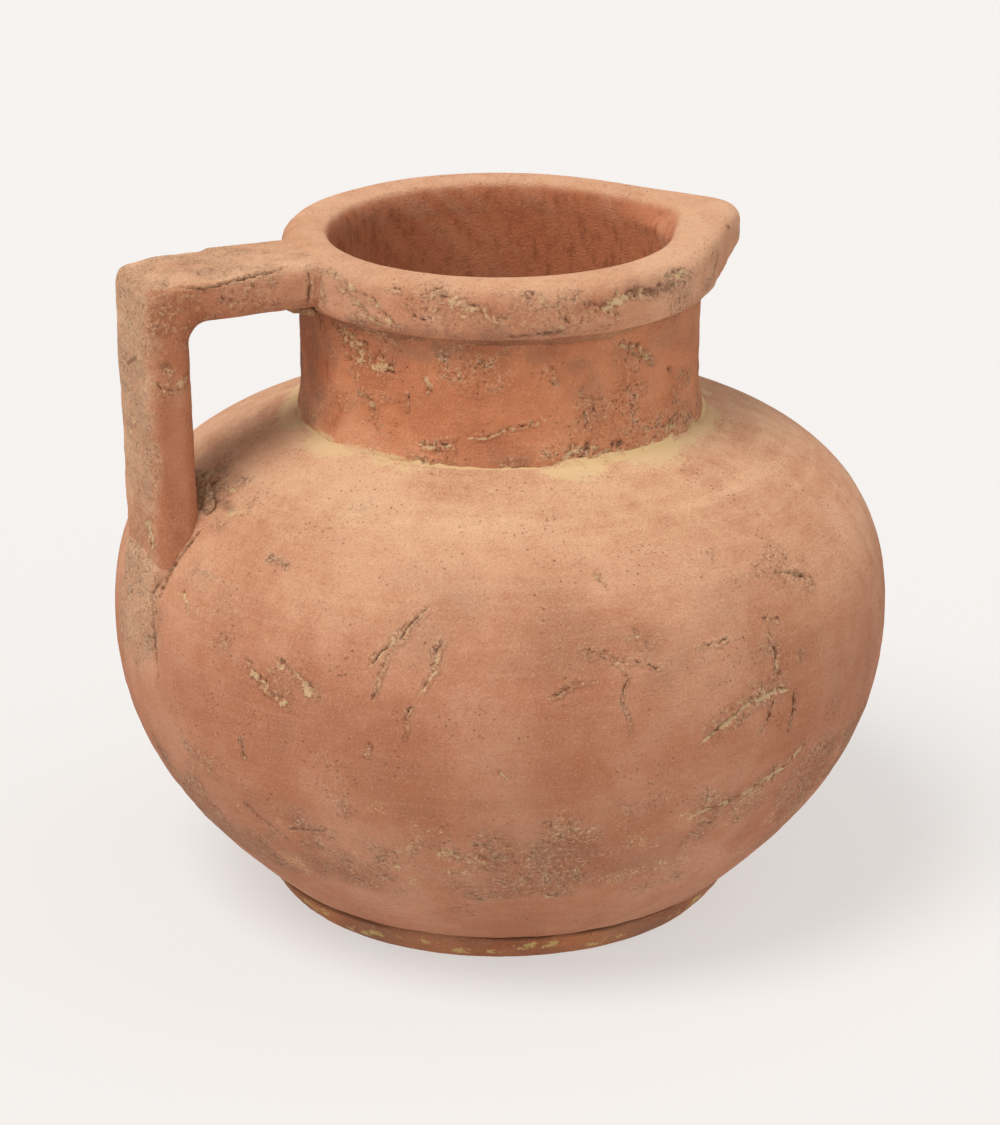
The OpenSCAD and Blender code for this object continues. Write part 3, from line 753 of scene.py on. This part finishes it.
rim_skin = Skin(turn(rim_outline, 580))
rim_gouges = [
    (1.5, 1.4, 0.6, [(163, 263), (155, 260), (147, 256), (140, 248)]),
    (1.3, 1.1, 0.6, [(158, 258), (150, 253), (144, 247)]),
    (4.2, 0.6, 0.5, [(129, 261), (121, 257), (113, 253)]),
    (1.9, 0.8, 0.5, [(105, 262), (100, 258)]),
    (2.9, 2.0, 0.6, [(84, 256), (75, 257), (60, 257)]), (2.0, 1.2, 0.8, [(64, 261), (56, 260)]),
    (2.0, 1.0, 0.4, [(89, 256), (81, 250)]), (1.1, 0.9, 0.3, [(16, 262), (15, 261)]),
    (1.2, 0.7, 0.5, [(142, 262), (138, 261)]), (1.6, 0.9, 0.5, [(44, 251), (40, 250)]),
    (3.0, 1.5, 0.5, [(215, 258), (228, 255)]), (2.6, 1.3, 0.6, [(250, 252), (262, 254)]),
    (3.0, 1.6, 0.6, [(300, 257), (313, 255)]), (1.8, 0.9, 0.5, [(340, 258), (344, 256)]),
]
rim_cracks = [
    (0.40, 0.9, 0.7, 0.5, [(138, 257), (134, 252), (131, 252), (127, 254)]),
    (0.35, 0.8, 0.7, 0.6, [(97, 258), (96, 253), (93, 250)]),
    (0.60, 1.2, 0.6, 0.4, [(112, 246), (104, 246), (94, 247)]),
    (0.60, 1.4, 1.2, 0.6, [(165.4, 264), (165, 254), (164, 246)]),
    (0.45, 0.9, 1.0, 0.6, [(275, 259), (283, 251)]),
    (0.45, 0.8, 0.9, 0.6, [(30, 258), (35, 254), (38, 248)]),
]
rim_skin.scar(rim_face.draw, rim_gouges, rim_cracks, (0.8, 0.8), 40)
at = rim_skin.at
radius = np.hypot(at[:, 0], at[:, 1])
face = smooth((radius - 79) / 3)
lined = smooth((68 - radius) / 2)
rim_waves = 0.2 + 0.18 * swell(at, 24, 1, 2) + 0.18 * swell(at, 4, 2, 3) * (0.2 + face)
rim_skin.sunk += (1 - lined) * rim_waves
rim_skin.sunk += lined * 0.10 * brushed(at)
sags = np.clip(swell(at, 11, 4, 2), 0, 1) * smooth((bottom_z + 6 - at[:, 2]) / 4)
rim_skin.sunk += 0.8 * sags * face
rim_stains = [  # amount, width, places
    (0.6, 5, [(150, 245), (95, 245)]), (0.5, 5, [(75, 259), (62, 259)]),
    (0.35, 8, [(170, 258), (150, 262)]), (0.4, 8, [(230, 250), (300, 250)]),
]
for amount, width, path in rim_stains:
    rim_skin.smudge(rim_face.draw(path, 2), width, amount, seed=int(path[0][0]))
rim_skin.tint("worn", face * np.clip(0.3 + 1.1 * swell(at, 14, 9, 3), 0, 0.9))
inner_side = smooth((68 - radius) / 3) * smooth((top_z - 1.0 - at[:, 2]) / 3)
rim_skin.tint("wash", inner_side * np.clip(0.85 + 0.3 * brushed(at), 0, 1))
rim_skin.marks["dust"] *= 1 - inner_side
# The rim's clay is paler than the belly's: partly its own colour, partly painted light on its shaded
# upright face.
rim_clay = clay("rim_clay", body=(0.65, 0.310, 0.178), pale=(0.72, 0.385, 0.235),
                deep=(0.57, 0.240, 0.125), pores=0.6, wheel=0.2, grit=0.45)
rim_piece = rim_skin.finish("rim_coil", rim_clay, "terracotta", pinch)
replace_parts(rim_piece, "rim")


# ---- Handle ----------------------------------
# Two slabs of clay are mitred into an arm and a post and luted on while damp. A wet finger rounded
# every edge, filled the inner corner and dragged the post's foot down onto the belly.

arm_low, arm_top = corners("handle_arm")
strap_t, strap_w = arm_top[2] - arm_low[2], post_top[1] - post_low[1]
out_x = post_low[0] + 0.1       # outer face of the post
post_lean = 0.021               # how far the post's foot leans towards the neck, for each mm down
outer_r, inner_r, edge_r = 10.0, 8.0, 6.0      # of the corner outside and inside, and the edges
over_z = arm_top[2] - 0.2        # the arm's upper side, and its underside
below_z = arm_low[2]


def bend(middle, radius, start, end):
    """Points round an arc, given by its middle, radius and two angles."""
    a = np.radians(np.linspace(start, end, 12))
    return np.column_stack([middle[0] + radius * np.cos(a), middle[1] + radius * np.sin(a)])


foot_at, arm_end = 112.0, -neck_r - 0.5


def bent(x, z, radius):
    """One face of the handle from the side, in three parts: the post, the corner and the arm."""
    foot_x = x + (over_z - foot_at) * post_lean
    return [even([(foot_x, foot_at), (x, z - radius)], 0.7),
            bend((x + radius, z - radius), radius, 180, 90),
            even([(x + radius, z), (arm_end, z + 0.5)], 0.7)]


outer_line = bent(out_x, over_z, outer_r)
inner_line = bent(out_x + strap_t, below_z, inner_r)


def along(parts, v):
    """The place at v along a line of three parts: the post, the corner and the arm."""
    share = (0.0, 0.60, 0.70, 1.0)
    run = np.concatenate([np.linspace(*share[k:k + 2], len(part)) for k, part in enumerate(parts)])
    points = np.vstack(parts)
    return np.column_stack([np.interp(v, run, points[:, 0]), np.interp(v, run, points[:, 1])])


half_t, half_w = strap_t / 2, strap_w / 2
quarters = ((1, 1, 0), (-1, 1, 90), (-1, -1, 180), (1, -1, 270))
ring = np.vstack([bend((sx * (half_t - edge_r), sy * (half_w - edge_r)), edge_r, a, a + 90)
                  for sx, sy, a in quarters])
ring = even(np.vstack([ring, ring[:1]]), 0.8)
strap_bm = bmesh.new()
bmesh.ops.create_grid(strap_bm, x_segments=len(ring) - 1, y_segments=300, size=0.5)
u, v = (np.array([[p.co.x, p.co.y] for p in strap_bm.verts]) + 0.5).T
run = np.linspace(0, 1, len(ring))
thick, wide = np.interp(u, run, ring[:, 0]) / half_t, np.interp(u, run, ring[:, 1])
far, near = along(outer_line, v), along(inner_line, v)
place = (far + near) / 2 + thick[:, None] * (far - near) / 2
for p, (x, z), y in zip(strap_bm.verts, place / 1000, wide / 1000):
    p.co = (x, y, z)
bmesh.ops.remove_doubles(strap_bm, verts=strap_bm.verts, dist=0.00005)
ends = bmesh.ops.holes_fill(strap_bm, edges=strap_bm.edges, sides=0)["faces"]
bmesh.ops.poke(strap_bm, faces=ends)
bmesh.ops.recalc_face_normals(strap_bm, faces=strap_bm.faces)


strap_skin = Skin(strap_bm)


def flat(path, wander, seed):
    """A ragged line on the handle's skin, near a few places in space."""
    line = even(path, 0.6)
    line = line + wander * np.column_stack([swell(line, 5.0, seed + k, 3) for k in range(3)])
    return strap_skin.press(line)


front = -half_w
strap_cracks = [
    (0.50, 1.5, 0.7, 0.4, [(-135, front + 1, 261), (-124, front + 0.6, 259), (-112, front + 1, 261),
                           (-97, front + 2, 263), (-90, front + 3, 264)]),
    (0.60, 1.4, 0.9, 0.5, [(-84, front, 263), (-83, front, 256), (-84.5, front, 248)]),
    (0.50, 1.0, 0.8, 0.4, [(-146, -8, 232), (-146, 4, 226), (-146, 12, 228)]),
]
strap_gouges = [
    (2.0, 0.6, 0.5, [(-144, front + 1, 224), (-136, front, 221), (-131, front, 226)]),
    (1.5, 0.7, 0.5, [(-141, front, 232), (-138, front, 229)]),
    (4.6, 0.9, 0.9, [(-147.7, front + 9, 167), (-147.5, front + 8, 162)]),
    (1.3, 2.2, 0.0, [(-147.9, front + 6, 172), (-147.9, front + 6, 171.4)]),
    (1.6, 0.5, 0.5, [(-118, front, 254), (-112, front, 252)]),
    (3.0, 0.8, 0.5, [(-147, 2, 205), (-147, 8, 198)]),
    (2.4, 0.8, 0.5, [(-110, 8, 264), (-104, 12, 264)]),
    (2.2, 0.7, 0.5, [(-140, half_w, 215), (-135, half_w, 208)]),
    (2.2, 0.7, 0.5, [(-120, half_w, 256), (-112, half_w, 254)]),
]
strap_skin.scar(flat, strap_gouges, strap_cracks, (0.5, 0.4), 60, 0.4)
at = strap_skin.at
strap_skin.sunk += 0.35 + 0.35 * swell(at, 26, 1, 2) + 0.16 * swell(at, 4, 2, 3)
# The arm's top is a little lower towards the corner, with a soft step where the clay was patched
on_top = smooth((at[:, 2] - 259) / 4)
strap_skin.sunk += 1.0 * on_top * smooth((-110 - at[:, 0]) / 4)
strap_skin.sunk += 0.9 * on_top * smooth((-130 - at[:, 0]) / 8)
outer_side = smooth((-141 - at[:, 0] + 2.5 * swell(at, 8, 6, 3)) / 6)
outer_side *= 0.35 + 0.65 * smooth((at[:, 2] - 160) / 30)
strap_skin.tint("dust", 0.9 * outer_side)
# Painted highlight: the strap's upward faces get the dust mark and so come out paler on top.
strap_skin.marks["dust"] += 0.8 * smooth((strap_skin.out[:, 2] - 0.5) / 0.4)
strap_skin.tint("stain", 0.4 * outer_side * np.clip(0.5 + 1.2 * swell(at, 12, 3, 3), 0, 1))
upper = smooth((at[:, 2] - 205) / 25)
strap_skin.tint("worn", upper * np.clip(0.4 + 1.1 * swell(at, 9, 5, 3), 0, 1))
strap_skin.tint("worn", 0.8 * outer_side)
strap_clay = clay("strap_clay", body=(0.55, 0.225, 0.118), pale=(0.61, 0.285, 0.165),
                  deep=(0.49, 0.180, 0.088), pores=0.5, wheel=0.15, grit=0.5)
strap = strap_skin.finish("strap", strap_clay, "terracotta")

mitre = Vector((1, 0, 1)).normalized()
middle = Vector((out_x + half_t, 0, over_z - half_t)) / 1000
halves = (("arm_slab", 1, ["handle_arm", "corner_wad"]), ("post_slab", -1, ["handle_post"]))
for name, side, node_names in halves:
    half = bmesh.new()
    half.from_mesh(strap.data)
    bmesh.ops.bisect_plane(half, geom=half.verts[:] + half.edges[:] + half.faces[:], dist=0.000001,
                           plane_co=middle, plane_no=mitre * side, clear_inner=True)
    bmesh.ops.remove_doubles(half, verts=half.verts, dist=0.00001)
    seam = [e for e in half.edges if e.is_boundary]
    for edge in seam:
        edge.smooth = False
    for lid in bmesh.ops.contextual_create(half, geom=seam)["faces"]:
        lid.smooth = False
    piece = stand(name, half, strap_clay)
    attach(piece, "root")
    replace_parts(piece, *node_names)
bpy.data.objects.remove(strap)


# ---- Slip in the joints ----------------------
# Beads of runny ochre slip seal the neck to the shoulder, the rim to the neck and the belly to its
# foot. They were wiped with a finger, so they come and go round the pot.

def bead(outline, steps, thin, seed, dust):
    """A wiped bead of slip round a joint, thinned away here and there until it is lost."""
    skin = Skin(turn(even(outline, 0.7), steps))
    at = skin.at
    skin.sunk += thin * np.clip(0.5 + 1.2 * swell(at * [1, 1, 2], 30, seed, 2), 0, 1.5)
    skin.sunk += 0.12 * swell(at, 2.5, seed + 1, 3)
    skin.tint("slip", dust * np.clip(0.6 + 0.8 * swell(at, 14, seed + 2, 3), 0.1, 0.95))
    skin.tint("dark", 0.5 * np.clip(swell(at, 3, seed + 3, 3) - 0.3, 0, 1))
    return skin


slip_clay = clay("slip_clay", body=(0.62, 0.33, 0.185), pale=(0.70, 0.43, 0.25),
                 deep=(0.57, 0.25, 0.13), pores=0.4, wheel=0.0, grit=0.5, slip=(0.78, 0.57, 0.29))
neck_bead = np.vstack([
    curve((shoulder_r + 3.2, shoulder_z - 2.3), (shoulder_r + 1.6, shoulder_z - 0.4),
          (neck_r + 1.8, shoulder_z + 0.6), (neck_r + 1.2, shoulder_z + 2.4), 16),
    [(neck_r - 2, shoulder_z + 3), (shoulder_r - 4, shoulder_z - 2.5)]])
bead_skin = bead(neck_bead, 520, 0.8, 70, 1.0)
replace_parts(bead_skin.finish("neck_bead", slip_clay, "pale_slip"), "neck_slip")
rim_bead = np.vstack([curve((neck_r - 0.3, bottom_z - 3.2), (neck_r + 0.6, bottom_z - 2),
                            (neck_r + 1.2, bottom_z - 0.4), (neck_r + 2.6, bottom_z + 0.6), 12),
                      [(neck_r + 1, bottom_z + 2), (neck_r - 2, bottom_z + 1),
                       (neck_r - 2, bottom_z - 2)]])
under_clay = clay("under_clay", body=(0.42, 0.18, 0.095), pale=(0.55, 0.29, 0.15),
                  deep=(0.30, 0.12, 0.065), pores=0.7, wheel=0.0, grit=0.6)
under_skin = bead(rim_bead, 500, 0.9, 80, 0.35)
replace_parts(under_skin.finish("rim_bead", under_clay, "pale_slip"), "rim_slip")
foot_bead = np.vstack([curve((87.4, 4.4), (90.6, 7.0), (92.6, 9.6), (91.7, 11.8), 12),
                       [(89.5, 11.2), (87, 6.4)]])
smear_skin = bead(foot_bead, 560, 1.1, 90, 0.0)
smear_foot(smear_skin)
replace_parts(smear_skin.finish("foot_bead", foot_clay, "pale_slip"), "foot_slip")


# ---- Wads ------------------------------------
# Small wads of the same slip clay are thumbed under the arm, where it meets the rim, and behind the
# foot of the post. They are crumbly and pitted.

def wad(name, node, middle, size, tilt, seed, material):
    """A thumbed lump: a ball pressed flat, tipped about the handle's width and dented."""
    bm = bmesh.new()
    bmesh.ops.create_icosphere(bm, subdivisions=5, radius=1.0)
    bmesh.ops.scale(bm, vec=np.array(size) / 1000, verts=bm.verts)
    turned = [(math.cos(tilt), 0, math.sin(tilt)), (0, 1, 0), (-math.sin(tilt), 0, math.cos(tilt))]
    for v in bm.verts:
        v.co = [sum(a * b for a, b in zip(row, v.co)) + m / 1000 for row, m in zip(turned, middle)]
    skin = Skin(bm)
    skin.sunk += 0.9 * swell(skin.at, 5, seed, 3) + 0.35 * swell(skin.at, 1.5, seed + 1, 2)
    skin.tint("slip", np.clip(swell(skin.at, 5, seed + 2, 3) - 0.1, 0, 0.5))
    skin.tint("dark", np.clip(0.7 * swell(skin.at, 2.2, seed + 3, 3) - 0.15, 0, 0.5))
    skin.tint("worn", 0.8)
    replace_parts(skin.finish(name, material, "pale_slip"), node)


wad_clay = clay("wad_clay", body=(0.42, 0.22, 0.105), pale=(0.54, 0.33, 0.16),
                deep=(0.30, 0.14, 0.070), pores=1.0, wheel=0.0, grit=0.7)
wad("arm_lump", "arm_wad", (-rim_r + 0.5, 0, below_z - 1.0), (6.5, 17.5, 3.2), 0.35, 5, wad_clay)
wad("post_lump", "post_wad", (-123.5, 0, 172.8), (7.5, 19.0, 3.0), -0.78, 9, wad_clay)


# ---- Studio ----------------------------------
# The pitcher stands on a plain pale floor under an even pale sky and three wide, soft lamps: a
# strong one high on the left, and faint ones in front and on the right.

scene = bpy.context.scene
scene.view_settings.view_transform = "Standard"

floor_bm = bmesh.new()
bmesh.ops.create_grid(floor_bm, x_segments=2, y_segments=2, size=12)
floor_paint = bpy.data.materials.new("floor_paint")
floor_paint.use_nodes = True
paint = floor_paint.node_tree.nodes["Principled BSDF"]
for key, value in {"Base Color": (0.31, 0.308, 0.305, 1), "Roughness": 0.9,
                   "Emission Color": (1.0, 0.97, 0.945, 1), "Emission Strength": 0.56,
                   "Specular IOR Level": 0.1}.items():
    paint.inputs[key].default_value = value
studio_floor = stand("studio_floor", floor_bm, floor_paint)

sky = bpy.data.worlds.new("pale_sky")
sky.use_nodes = True
sky.node_tree.nodes["Background"].inputs["Color"].default_value = (1.0, 0.985, 0.97, 1)
sky.node_tree.nodes["Background"].inputs["Strength"].default_value = 0.45
scene.world = sky


def towards(azimuth, elevation):
    """The way from the pitcher to something so many degrees round from the front, and up."""
    a, e = math.radians(azimuth), math.radians(elevation)
    return Vector((math.sin(a) * math.cos(e), -math.cos(a) * math.cos(e), math.sin(e)))


def lamp(name, azimuth, elevation, strength, softness):
    """A wide soft lamp, far away: where it stands, how bright it is and how wide it looks."""
    data = bpy.data.lights.new(name, "SUN")
    data.energy = strength
    data.angle = math.radians(softness)
    data.color = (1.0, 0.975, 0.95)
    shade = bpy.data.objects.new(name, data)
    beam = towards(azimuth, elevation)
    shade.rotation_euler = beam.to_track_quat("Z", "Y").to_euler()
    shade.location = beam * 3
    scene.collection.objects.link(shade)


lamp("top_lamp", -66, 60, 2.15, 28)
lamp("front_lamp", -10, 28, 0.24, 60)
lamp("right_lamp", 75, 38, 0.36, 60)

view_azimuth, view_elevation, view_distance = -22, 20.25, 1.62
view_middle = Vector((0, 0, 0.1292))
camera_data = bpy.data.cameras.new("camera")
camera_data.sensor_width = 36
camera_data.lens = 133.4
camera_data.clip_end = 50
camera = bpy.data.objects.new("camera", camera_data)
away = towards(view_azimuth, view_elevation)
camera.location = view_middle + away * view_distance
camera.rotation_euler = away.to_track_quat("Z", "Y").to_euler()
scene.collection.objects.link(camera)
scene.camera = camera
